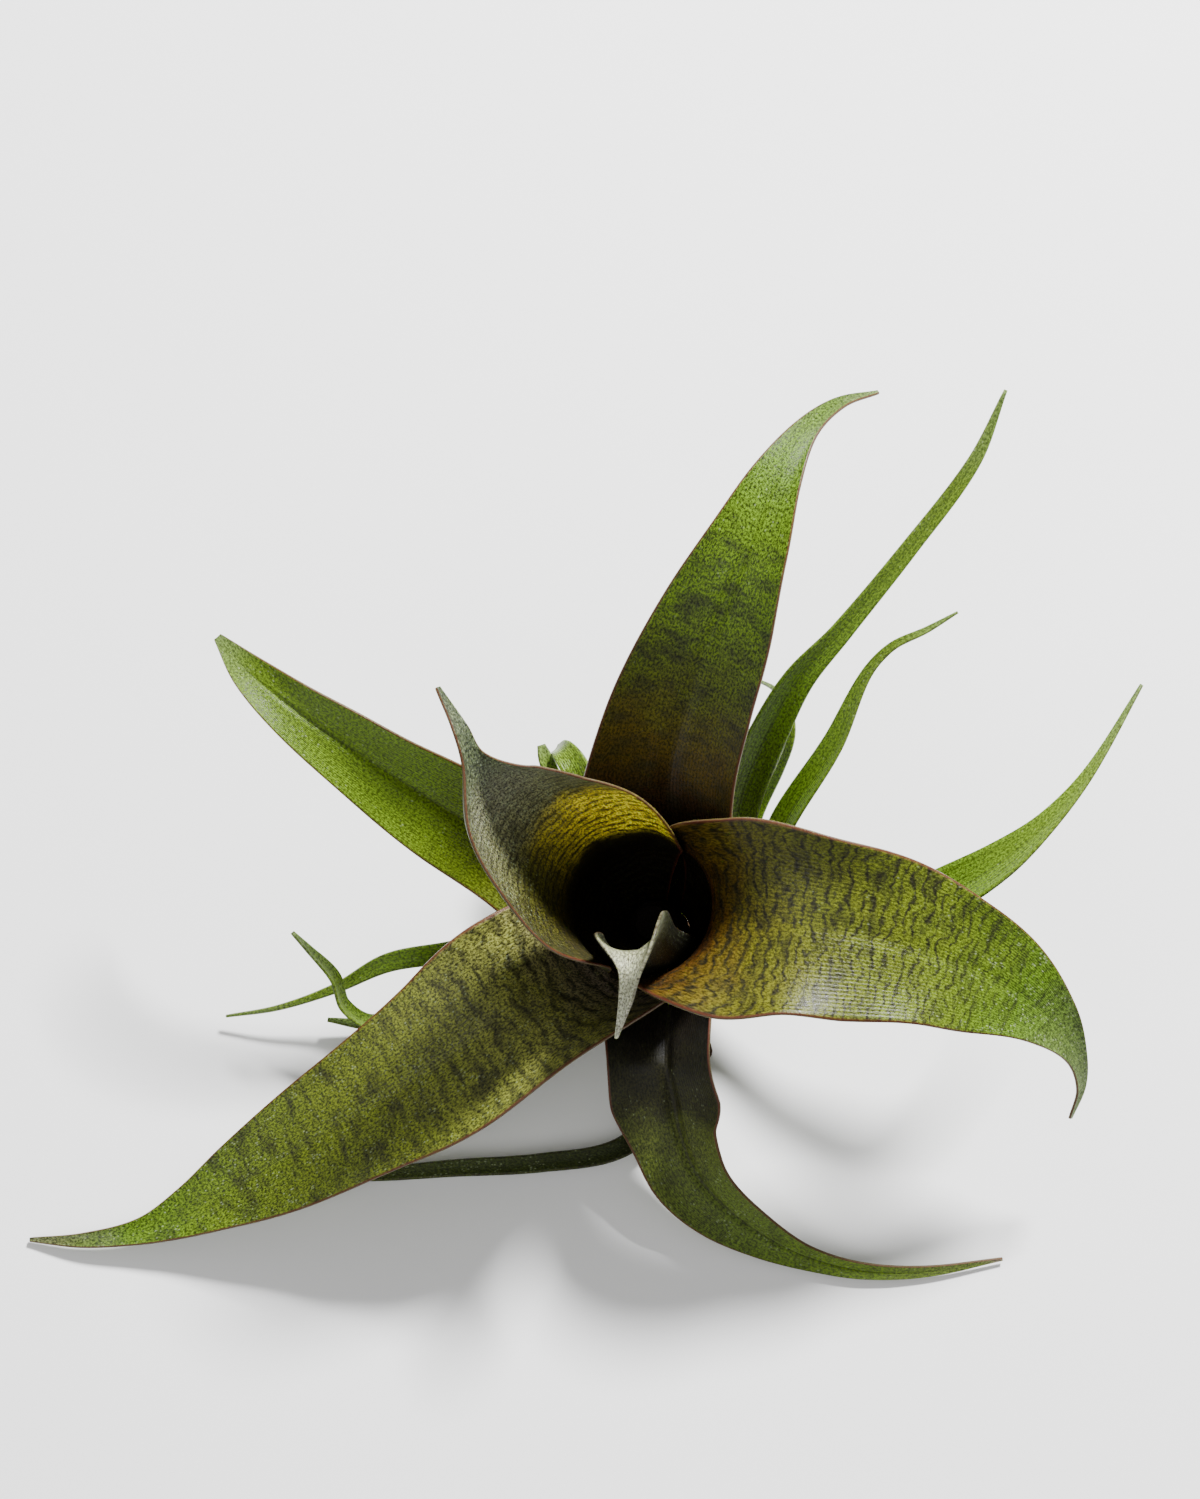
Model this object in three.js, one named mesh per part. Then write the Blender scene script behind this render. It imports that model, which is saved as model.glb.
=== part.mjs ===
// A bare-rooted young vriesea: a small tank bromeliad standing on its trimmed stem, its roots and the tips
// of its lowest leaves. Millimetres, +Z up, origin at the middle of the stem's flat cut foot, on the surface.
// +X is the plant's right and -Y its front, the side that the rosette leans to.
//
// Every leaf is one lofted blade. Its sheath is a stretch of a tube round the leaning rosette axis, so the
// sheaths nest inside each other like the layers of a leek; above the sheath the blade follows its own list
// of sections, each written [x, y, z, half width, curl, roll]:
//   x, y, z     a point of the midrib
//   half width  measured along the curved section, from midrib to margin
//   curl        degrees that the section turns from midrib to margin (0 is flat, 90 a half tube)
//   roll        degrees that the blade is turned about its midrib, positive lifting its left margin
import * as THREE from "three";

// The stem and the rosette's axis.
const STEM_RADIUS = 5.5;
const STEM_TOP = 27;
const AXIS_LEAN = [-10, -4, 50]; // the axis runs from the origin through the middle of the tank's mouth here

// Sheaths. Ring 0 is the innermost; each ring outwards starts lower on the stem and opens wider.
const INNER_TANK_RADIUS = 12.5;
const RING_STEP = 1.25;
const FLARE_HEIGHT = 17;
const LOWEST_SHEATH = 6; // height along the axis that the starts of the outermost rings close in on
const SHEATH_SPREAD = 18; // how much higher ring 0 starts
const RING_CROWDING = 5;
const STEM_GAP = 0.4;

// Blade thickness, on the midrib and at the margin.
const MIDRIB_THICKNESS = 0.9;
const MARGIN_THICKNESS = 0.5;
const SHEATH_THICKNESS = 0.55;

const ROOT_RADIUS = 0.9;

const axis = new THREE.Vector3(...AXIS_LEAN).normalize();
const acrossAxis = new THREE.Vector3(1, 0, 0).projectOnPlane(axis).normalize();
const behindAxis = new THREE.Vector3().crossVectors(axis, acrossAxis);
const degrees = THREE.MathUtils.degToRad;

// The unit direction out of the axis towards a compass azimuth (0 is +X, 90 is +Y).
function outwards(azimuth) {
  const a = degrees(azimuth);
  return acrossAxis.clone().multiplyScalar(Math.cos(a)).addScaledVector(behindAxis, Math.sin(a));
}

// A smooth curve through (at[k], values[k]), read at u.
function smooth(at, values, u) {
  const last = at.length - 1;
  let k = 0;
  while (k < last - 1 && u > at[k + 1]) k++;
  const slope = (i) => {
    const a = Math.max(0, i - 1);
    const b = Math.min(last, i + 1);
    return (values[b] - values[a]) / (at[b] - at[a]);
  };
  const width = at[k + 1] - at[k];
  const t = (u - at[k]) / width;
  const start = values[k] + t * t * (3 - 2 * t) * (values[k + 1] - values[k]);
  return start + width * (t * (1 - t) * (1 - t) * slope(k) - t * t * (1 - t) * slope(k + 1));
}

// The sheath's sections: tube arcs round the axis, from the stem up to the mouth.
function sheathSections(leaf) {
  const from = LOWEST_SHEATH + SHEATH_SPREAD * Math.exp(-leaf.ring / RING_CROWDING);
  const widest = INNER_TANK_RADIUS + RING_STEP * leaf.ring;
  const narrowest = STEM_RADIUS + STEM_GAP + SHEATH_THICKNESS / 2;
  return [0, 0.25, 0.55, 1].map((share) => {
    const height = from + share * (leaf.sheathTop - from);
    const opened = Math.sin((Math.min(1, (height - from) / FLARE_HEIGHT) * Math.PI) / 2);
    const radius = narrowest + opened * (widest - narrowest);
    const wrap = leaf.wrap * (0.75 + 0.25 * share);
    const point = axis.clone().multiplyScalar(height).addScaledVector(outwards(leaf.azimuth), radius);
    return [...point.toArray(), radius * degrees(wrap), wrap, 0];
  });
}

// One closed solid swept through the leaf's sections, rings x columns facets on each face.
function leafGeometry(leaf) {
  const sheath = sheathSections(leaf);
  const sections = [...sheath, ...leaf.blade];
  const points = sections.map((s) => new THREE.Vector3(s[0], s[1], s[2]));
  const at = [0];
  for (let k = 1; k < points.length; k++) at.push(at[k - 1] + points[k].distanceTo(points[k - 1]));
  const column = (i) => sections.map((s) => s[i]);
  const read = (i, u) => smooth(at, column(i), u);
  const spot = (u) => new THREE.Vector3(read(0, u), read(1, u), read(2, u));
  const length = at[at.length - 1];
  const mouth = at[sheath.length - 1];
  const opening = at[sheath.length] - mouth;

  const rings = leaf.rings ?? 20;
  const columns = leaf.columns ?? 8;
  const positions = [];
  let ahead = axis.clone();
  let facing = outwards(leaf.azimuth).negate();
  for (let r = 0; r <= rings; r++) {
    const u = (r / rings) * length;
    const step = length * 1e-3;
    const tangent = spot(Math.min(length, u + step)).sub(spot(Math.max(0, u - step))).normalize();
    const free = THREE.MathUtils.smoothstep(u, mouth, mouth + opening);
    const next = axis.clone().lerp(tangent, free).normalize();
    facing.applyQuaternion(new THREE.Quaternion().setFromUnitVectors(ahead, next));
    facing.projectOnPlane(next).normalize();
    ahead = next;
    const up = facing.clone().applyAxisAngle(ahead, degrees(read(5, u)));
    const side = new THREE.Vector3().crossVectors(ahead, up);
    const half = Math.max(0.2, read(3, u));
    const curl = degrees(Math.max(2, read(4, u)));
    const radius = half / curl;
    const tip = THREE.MathUtils.smoothstep(u / length, 0.75, 1);
    const body = THREE.MathUtils.lerp(SHEATH_THICKNESS, MIDRIB_THICKNESS, free) * (1 - 0.4 * tip);
    const around = (t, face) => {
      const thick = THREE.MathUtils.lerp(body, Math.min(body, MARGIN_THICKNESS), t * t);
      const inner = radius - (face * thick) / 2;
      return spot(u)
        .addScaledVector(side, Math.sin(curl * t) * inner)
        .addScaledVector(up, radius - Math.cos(curl * t) * inner);
    };
    for (let c = 0; c <= columns; c++) positions.push(around((2 * c) / columns - 1, 1));
    for (let c = columns; c >= 0; c--) positions.push(around((2 * c) / columns - 1, -1));
  }

  const loop = 2 * (columns + 1);
  const faces = [];
  const quad = (a, b, c, d) => faces.push(a, b, c, a, c, d);
  for (let r = 0; r < rings; r++) {
    for (let c = 0; c < loop; c++) {
      const n = (c + 1) % loop;
      quad(r * loop + c, r * loop + n, (r + 1) * loop + n, (r + 1) * loop + c);
    }
  }
  for (let c = 0; c < columns; c++) {
    const top = rings * loop;
    quad(c + 1, c, loop - 1 - c, loop - 2 - c);
    quad(top + c, top + c + 1, top + loop - 2 - c, top + loop - 1 - c);
  }
  return closedGeometry(positions, faces);
}

function closedGeometry(points, faces) {
  const geometry = new THREE.BufferGeometry();
  geometry.setAttribute("position", new THREE.Float32BufferAttribute(points.flatMap((p) => p.toArray()), 3));
  geometry.setIndex(faces);
  geometry.computeVertexNormals();
  return geometry;
}

// The trimmed stem: a tapering stump, flat below, that leans with the axis.
function stemGeometry() {
  const profile = [
    [0, 0],
    [STEM_RADIUS + 0.8, 0],
    [STEM_RADIUS + 0.4, 3],
    [STEM_RADIUS, 8],
    [STEM_RADIUS, STEM_TOP - 3],
    [STEM_RADIUS - 2, STEM_TOP],
    [0, STEM_TOP + 0.5],
  ].map(([r, z]) => new THREE.Vector2(r, z));
  const geometry = new THREE.LatheGeometry(profile, 16);
  geometry.rotateX(Math.PI / 2);
  const lean = new THREE.Vector2(axis.x / axis.z, axis.y / axis.z);
  const spots = geometry.getAttribute("position");
  for (let i = 0; i < spots.count; i++) {
    const z = spots.getZ(i);
    spots.setXYZ(i, spots.getX(i) + lean.x * z, spots.getY(i) + lean.y * z, z);
  }
  geometry.computeVertexNormals();
  return geometry;
}

// A wiry root that leaves the stem's side and lies along the surface.
function rootGeometry(azimuth, reach, bend) {
  const a = degrees(azimuth);
  const spot = (r, turn, z) => new THREE.Vector3(Math.cos(a + turn) * r, Math.sin(a + turn) * r, z);
  const start = STEM_RADIUS + 1.3;
  const curve = new THREE.CatmullRomCurve3([
    spot(start, 0, 3),
    spot(start + reach * 0.2, bend * 0.1, 2),
    spot(start + reach * 0.5, bend * 0.7, ROOT_RADIUS + 0.1),
    spot(start + reach * 0.8, bend * 0.8, ROOT_RADIUS + 0.1),
    spot(start + reach, bend, ROOT_RADIUS + 0.1),
  ]);
  const section = new THREE.Shape().absarc(0, 0, ROOT_RADIUS, 0, Math.PI * 2);
  return new THREE.ExtrudeGeometry(section, { steps: 10, curveSegments: 3, extrudePath: curve });
}

// Colours: mottled olive blades, dark maroon towards the tank, fresh green narrow leaves.
const olive = new THREE.MeshStandardMaterial({ color: 0x5f7a22, roughness: 0.5, metalness: 0 });
const darkOlive = new THREE.MeshStandardMaterial({ color: 0x47531f, roughness: 0.5, metalness: 0 });
const freshGreen = new THREE.MeshStandardMaterial({ color: 0x5a8a1e, roughness: 0.5, metalness: 0 });
const silverGreen = new THREE.MeshStandardMaterial({ color: 0x8fa07c, roughness: 0.6, metalness: 0 });
const stemBrown = new THREE.MeshStandardMaterial({ color: 0x6d5238, roughness: 0.9, metalness: 0 });
const rootBrown = new THREE.MeshStandardMaterial({ color: 0x5a3d28, roughness: 0.95, metalness: 0 });

const LEAVES = [
  {
    name: "leaf_front_young", material: silverGreen, azimuth: -85, ring: 0, sheathTop: 38, wrap: 55, blade: [
      [-8, -17, 50, 10, 80, 0],
      [-8.5, -18, 60, 10, 80, 12],
      [-9, -20, 66, 7.6, 70, 15],
      [-10, -24, 67, 3, 55, 8],
      [-11, -28, 64, 1.6, 40, 0],
      [-13, -34, 57, 0.3, 20, 0],
    ],
  },
  {
    name: "leaf_left_cup", material: darkOlive, azimuth: 148, ring: 1, sheathTop: 46, wrap: 99, blade: [
      [-27, 4, 58, 24, 82, 0],
      [-33.5, 5.5, 69, 18.5, 75, 0],
      [-38, 7.5, 79, 11.8, 65, 0],
      [-40, 11, 86, 3.4, 50, 0],
      [-42, 16, 90, 1.8, 35, 0],
      [-46, 24, 90, 0.5, 20, 0],
    ],
  },
  {
    name: "leaf_right_broad", material: olive, azimuth: -12, ring: 2, sheathTop: 43, wrap: 84, blade: [
      [13, -9.5, 52, 22, 56, 9],
      [23, -11.5, 56, 19.2, 40, 10],
      [35, -13.5, 56, 17, 27, 9],
      [49, -16.5, 52, 14.2, 18, 8],
      [62, -20.5, 46, 10.6, 18, 10],
      [72, -26, 39, 5.8, 28, 16],
      [77, -31, 33, 2.5, 30, 16],
      [78.5, -36, 27, 1.4, 30, 0],
      [77, -41, 22, 0.4, 20, 0],
    ],
  },
  {
    name: "leaf_front_long", material: olive, azimuth: 218, ring: 3, sheathTop: 26, wrap: 76, blade: [
      [-31, -21, 34, 19, 44, 0],
      [-45, -31, 31, 17, 26, 0],
      [-59, -38.5, 25, 14.5, 20, 0],
      [-74, -45.5, 17, 12, 20, 0],
      [-87, -51.5, 10.5, 9, 25, 0],
      [-98, -56.5, 6.5, 5.5, 30, 0],
      [-108, -60, 4.3, 2.8, 30, 0],
      [-120, -61.5, 2.6, 1.5, 30, 0],
      [-131, -61, 1, 0.4, 20, 0],
    ],
  },
  {
    name: "leaf_back_tall", material: olive, azimuth: 72, ring: 4, sheathTop: 36, wrap: 75, blade: [
      [-2.5, 21, 52, 16.5, 42, 0],
      [1.5, 32, 68, 14, 28, 0],
      [7, 43, 80, 11.5, 25, 0],
      [12, 53.5, 88, 8.5, 30, 0],
      [17, 65, 91, 5.5, 40, 0],
      [23, 76, 90, 2.8, 45, 0],
      [30, 84, 86, 1.5, 40, 0],
      [38, 89, 81, 0.4, 30, 0],
    ],
  },
  {
    name: "leaf_front_curling", material: olive, azimuth: -80, ring: 5, sheathTop: 17, wrap: 80, blade: [
      [-3, -29, 20, 12, 42, 0],
      [-1.5, -36, 15.5, 12.6, 38, 0],
      [0, -42, 12, 10.5, 50, 0],
      [3, -49, 9, 9.5, 50, 0],
      [9, -55.5, 6.5, 7.5, 45, 0],
      [17, -61, 4.5, 5, 35, 0],
      [26, -65, 3.2, 3, 30, 0],
      [37, -67.5, 2.5, 2, 30, 0],
      [50, -67.5, 1.8, 1.3, 20, 0],
      [65, -65, 1.2, 0.3, 10, 0],
    ],
  },
  {
    name: "leaf_left_back", material: freshGreen, azimuth: 150, ring: 6, sheathTop: 20, wrap: 60, blade: [
      [-34, 12, 32, 12, 35, -18],
      [-47, 16, 45, 10.8, 28, -22],
      [-60, 22, 54, 8.8, 28, -25],
      [-74, 30, 60, 6.2, 30, -20],
      [-84, 38, 61, 3.8, 30, -10],
      [-91, 46.5, 59, 0.9, 20, 0],
    ],
  },
  {
    name: "leaf_right_narrow", material: freshGreen, azimuth: -10, ring: 8, sheathTop: 16, wrap: 24,
    rings: 16, columns: 4, blade: [
      [20, -4, 23, 4.5, 50, 0],
      [36, -5, 34, 4.6, 40, 0],
      [52, -1.8, 45, 5.8, 32, 0],
      [62, 2.4, 52, 4.7, 30, 0],
      [70.5, 8.8, 57, 2.7, 30, 0],
      [78.5, 18, 60, 1.4, 30, 0],
      [89, 35, 63, 0.3, 20, 0],
    ],
  },
  {
    name: "leaf_back_high", material: freshGreen, azimuth: 72, ring: 10, sheathTop: 13, wrap: 26,
    rings: 18, columns: 4, blade: [
      [10, 16, 24, 4.5, 60, 0],
      [13, 24, 35, 4.6, 50, 0],
      [17.5, 32, 46, 4.2, 45, 0],
      [23, 39.5, 55, 3.3, 40, 0],
      [31, 46.5, 62, 2.3, 35, 0],
      [44, 60, 72, 1.8, 30, 0],
      [56, 74, 81, 1.4, 30, 0],
      [62, 86, 88, 0.3, 20, 0],
    ],
  },
  {
    name: "leaf_back_right", material: freshGreen, azimuth: 24, ring: 11, sheathTop: 12, wrap: 20,
    rings: 16, columns: 4, blade: [
      [16, 8, 19, 3.6, 60, 0],
      [22, 19, 30, 3.4, 50, 0],
      [31, 31, 40, 2.8, 50, 0],
      [37, 43, 47, 1.4, 40, 0],
      [42, 48, 50, 1, 40, 0],
      [49, 51, 52, 0.7, 30, 0],
      [55, 54, 54, 0.2, 30, 0],
    ],
  },
  {
    name: "leaf_back_short", material: freshGreen, azimuth: 114, ring: 12, sheathTop: 11, wrap: 20,
    rings: 12, columns: 4, blade: [
      [-14, 15, 18, 3.4, 50, 0],
      [-18, 22, 26, 3.4, 40, 0],
      [-21, 29, 32, 3, 30, 0],
      [-23.5, 33, 31, 2.4, 30, 0],
      [-25, 35, 26, 1.2, 30, 0],
    ],
  },
  {
    name: "leaf_back_tiny", material: freshGreen, azimuth: 135, ring: 13, sheathTop: 10, wrap: 18,
    rings: 10, columns: 4, blade: [
      [-16, 14, 13, 2.2, 50, 0],
      [-23, 24, 22, 2, 40, 0],
      [-27, 32, 28, 1.6, 40, 0],
      [-28, 35, 29, 0.8, 40, 0],
    ],
  },
  {
    name: "leaf_front_low", material: darkOlive, azimuth: -95, ring: 9, sheathTop: 12, wrap: 26,
    rings: 16, columns: 4, blade: [
      [-3, -21, 9, 3, 60, 0],
      [-3, -34, 5, 2.6, 50, 0],
      [-12, -43, 4, 2.2, 50, 0],
      [-28, -46, 4, 2, 45, 0],
      [-46, -47, 3.5, 1.8, 45, 0],
      [-59, -48, 3, 1.4, 40, 0],
      [-71, -49, 2.5, 0.4, 20, 0],
    ],
  },
  {
    name: "leaf_left_straight", material: freshGreen, azimuth: 172, ring: 10, sheathTop: 12, wrap: 24,
    rings: 16, columns: 4, blade: [
      [-24, 0, 13, 3, 60, 0],
      [-47, -5, 15.5, 2.3, 45, 0],
      [-59, -7, 15, 2, 45, 0],
      [-70, -11, 10, 1, 40, 0],
      [-82, -14, 6, 0.5, 40, 0],
      [-93, -15, 3, 0.25, 20, 0],
    ],
  },
  {
    name: "leaf_left_hooked", material: freshGreen, azimuth: 196, ring: 12, sheathTop: 10.5, wrap: 20,
    rings: 18, columns: 4, blade: [
      [-24, -4, 9, 2.6, 60, 0],
      [-47, -14, 8, 2.2, 45, 0],
      [-62, -18.5, 10, 2, 45, 0],
      [-68, -16, 14, 2, 40, 0],
      [-70, -11, 18, 2, 40, 0],
      [-75, -6, 22, 1, 30, 0],
      [-78, -3, 23, 0.4, 20, 0],
    ],
  },
  {
    name: "leaf_left_small", material: freshGreen, azimuth: 218, ring: 14, sheathTop: 9, wrap: 18,
    rings: 12, columns: 4, blade: [
      [-22, -9, 6, 2.2, 60, 0],
      [-45, -14.5, 4.5, 2, 45, 0],
      [-63, -17, 3.5, 1.6, 45, 0],
      [-72, -16, 4, 0.5, 40, 0],
    ],
  },
  {
    name: "leaf_back_thread", material: freshGreen, azimuth: 50, ring: 16, sheathTop: 8.5, wrap: 11,
    rings: 16, columns: 4, blade: [
      [12, 13, 10, 1.2, 50, 0],
      [17, 25, 17, 1, 40, 0],
      [21, 32, 24, 0.9, 40, 0],
      [23, 37, 29, 0.8, 40, 0],
      [22.5, 42, 31, 0.7, 40, 0],
      [20, 47, 29, 0.5, 30, 0],
      [17, 51, 24, 0.3, 30, 0],
    ],
  },
];

// Roots: [name, azimuth, reach, sideways bend in radians].
const ROOTS = [
  ["root_right", -5, 24, 0.5],
  ["root_back_right", 48, 34, 0.3],
  ["root_back", 108, 26, -0.35],
  ["root_back_left", 150, 27, 0.25],
  ["root_left", 205, 24, -0.3],
  ["root_front_left", 250, 26, 0.3],
  ["root_front_right", 300, 19, -0.3],
];

const plant = new THREE.Group();

function add(name, geometry, material) {
  const mesh = new THREE.Mesh(geometry, material);
  mesh.name = name;
  plant.add(mesh);
}

add("stem", stemGeometry(), stemBrown);
for (const leaf of LEAVES) add(leaf.name, leafGeometry(leaf), leaf.material);
for (const [name, ...path] of ROOTS) add(name, rootGeometry(...path), rootBrown);

export default plant;
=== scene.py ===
"""A bare-rooted vriesea: a leaning rosette of mottled leaves round a water tank, with narrow outer leaves."""

import math
from collections import namedtuple

import bmesh
import bpy
from bpy.props import FloatProperty, FloatVectorProperty, PointerProperty
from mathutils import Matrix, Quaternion, Vector


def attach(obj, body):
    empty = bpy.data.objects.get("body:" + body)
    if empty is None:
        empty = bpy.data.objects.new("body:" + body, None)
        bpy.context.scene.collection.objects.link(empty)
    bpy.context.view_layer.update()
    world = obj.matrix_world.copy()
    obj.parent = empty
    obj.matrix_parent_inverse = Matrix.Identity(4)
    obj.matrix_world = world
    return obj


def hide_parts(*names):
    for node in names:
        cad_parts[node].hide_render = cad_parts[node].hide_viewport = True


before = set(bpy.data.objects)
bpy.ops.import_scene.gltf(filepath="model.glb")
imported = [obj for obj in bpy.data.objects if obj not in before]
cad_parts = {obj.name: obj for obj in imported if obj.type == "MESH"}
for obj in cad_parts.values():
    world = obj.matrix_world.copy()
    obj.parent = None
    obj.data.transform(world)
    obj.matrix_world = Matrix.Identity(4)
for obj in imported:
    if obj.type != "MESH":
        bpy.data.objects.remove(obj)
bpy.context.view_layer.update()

bl_info = {
    "name": "Vriesea",
    "version": (1, 0, 0),
    "blender": (4, 5, 0),
    "location": "View3D > Sidebar > Vriesea",
    "description": "Builds a bare-rooted vriesea: leaves, stem, roots and their finishes",
    "category": "Add Mesh",
}

BODY = "root"
MM = 0.001

# The rosette's axis runs from the foot of the stem through this point, in the middle of the tank's mouth.
AXIS_LEAN = Vector((-10, -4, 50))
AXIS = AXIS_LEAN.normalized()
ACROSS_AXIS = (Vector((1, 0, 0)) - AXIS * AXIS.x).normalized()
BEHIND_AXIS = AXIS.cross(ACROSS_AXIS)

# Sheaths nest round the axis in rings, ring 0 innermost. Millimetres.
STEM_RADIUS = 5.5
STEM_TOP = 27
INNER_TANK_RADIUS = 12.5
RING_STEP = 1.25
FLARE_HEIGHT = 17
LOWEST_SHEATH = 6
SHEATH_SPREAD = 18
RING_CROWDING = 5
STEM_GAP = 0.4
SHEATH_THICKNESS = 0.55
MIDRIB_THICKNESS = 0.9
MARGIN_THICKNESS = 0.5
SHEATH_SHARE = 0.2  # the share of a leaf's colour range that its sheath takes
SHEATH_STATIONS = (0, 0.25, 0.55, 1)  # shares of a sheath's height
SHEATH_FOOT_WRAP = 0.75  # how far round its foot reaches, as a share of its top

# A blade's limits, in millimetres and degrees, and the shares of its length or half width where things change.
LEAST_HALF_WIDTH = 0.2
LEAST_CURL = 2.0
TANGENT_STEP = 1e-3
TIP_THINNING = 0.4
TIP_THINNING_FROM = 0.75
FADE_SHARE = 0.3  # folds and waves die out over this share of the length, before the tip
FULL_FOLD_HALF_WIDTH = 12  # a narrower blade folds and waves less, in proportion
MIDRIB_SPREAD = 0.10
WAVE_FROM = 0.3  # only the part of the half width beyond this share waves
MARGIN_LAG = 2.0  # radians between the waves of the two margins

# The folds and waves that add_blade's own numbers are stated for. Metres.
MIDRIB_DEPTH = 0.0006
MARGIN_WAVE = 0.0004

# How finely a blade is divided: rows along it and columns across it.
BROAD = (170, 40)
NARROW = (110, 10)

# Each blade's sections after its sheath: x, y, z of the midrib, half width, all in millimetres, then the
# curl from midrib to margin and the roll about the midrib, in degrees.
BROAD_BLADES = {
    "leaf_front_young": dict(azimuth=-85, ring=0, sheath_top=38, wrap=55, sections=(
        (-8, -17, 50, 10, 80, 0),
        (-8.5, -18, 60, 10, 80, 12),
        (-9, -20, 66, 7.6, 70, 15),
        (-10, -24, 67, 3, 55, 8),
        (-11, -28, 64, 1.6, 40, 0),
        (-13, -34, 57, 0.3, 20, 0),
    )),
    "leaf_left_cup": dict(azimuth=148, ring=1, sheath_top=46, wrap=99, sections=(
        (-27, 4, 58, 24, 82, 0),
        (-33.5, 5.5, 69, 18.5, 75, 0),
        (-38, 7.5, 79, 11.8, 65, 0),
        (-40, 11, 86, 3.4, 50, 0),
        (-42, 16, 90, 1.8, 35, 0),
        (-46, 24, 90, 0.5, 20, 0),
    )),
    "leaf_right_broad": dict(azimuth=-12, ring=2, sheath_top=43, wrap=84, sections=(
        (13, -9.5, 52, 22, 56, 9),
        (23, -11.5, 56, 19.2, 40, 10),
        (35, -13.5, 56, 17, 27, 9),
        (49, -16.5, 52, 14.2, 18, 8),
        (62, -20.5, 46, 10.6, 18, 10),
        (72, -26, 39, 5.8, 28, 16),
        (77, -31, 33, 2.5, 30, 16),
        (78.5, -36, 27, 1.4, 30, 0),
        (77, -41, 22, 0.4, 20, 0),
    )),
    "leaf_front_long": dict(azimuth=218, ring=3, sheath_top=26, wrap=76, sections=(
        (-31, -21, 34, 19, 44, 0),
        (-45, -31, 31, 17, 26, 0),
        (-59, -38.5, 25, 14.5, 20, 0),
        (-74, -45.5, 17, 12, 20, 0),
        (-87, -51.5, 10.5, 9, 25, 0),
        (-98, -56.5, 6.5, 5.5, 30, 0),
        (-108, -60, 4.3, 2.8, 30, 0),
        (-120, -61.5, 2.6, 1.5, 30, 0),
        (-131, -61, 1, 0.4, 20, 0),
    )),
    "leaf_back_tall": dict(azimuth=72, ring=4, sheath_top=36, wrap=75, sections=(
        (-2.5, 21, 52, 16.5, 42, 0),
        (1.5, 32, 68, 14, 28, 0),
        (7, 43, 80, 11.5, 25, 0),
        (12, 53.5, 88, 8.5, 30, 0),
        (17, 65, 91, 5.5, 40, 0),
        (23, 76, 90, 2.8, 45, 0),
        (30, 84, 86, 1.5, 40, 0),
        (38, 89, 81, 0.4, 30, 0),
    )),
    "leaf_front_curling": dict(azimuth=-80, ring=5, sheath_top=17, wrap=80, sections=(
        (-3, -29, 20, 12, 42, 0),
        (-1.5, -36, 15.5, 12.6, 38, 0),
        (0, -42, 12, 10.5, 50, 0),
        (3, -49, 9, 9.5, 50, 0),
        (9, -55.5, 6.5, 7.5, 45, 0),
        (17, -61, 4.5, 5, 35, 0),
        (26, -65, 3.2, 3, 30, 0),
        (37, -67.5, 2.5, 2, 30, 0),
        (50, -67.5, 1.8, 1.3, 20, 0),
        (65, -65, 1.2, 0.3, 10, 0),
    )),
    "leaf_left_back": dict(azimuth=150, ring=6, sheath_top=20, wrap=60, sections=(
        (-34, 12, 32, 12, 35, -18),
        (-47, 16, 45, 10.8, 28, -22),
        (-60, 22, 54, 8.8, 28, -25),
        (-74, 30, 60, 6.2, 30, -20),
        (-84, 38, 61, 3.8, 30, -10),
        (-91, 46.5, 59, 0.9, 20, 0),
    )),
}

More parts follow.
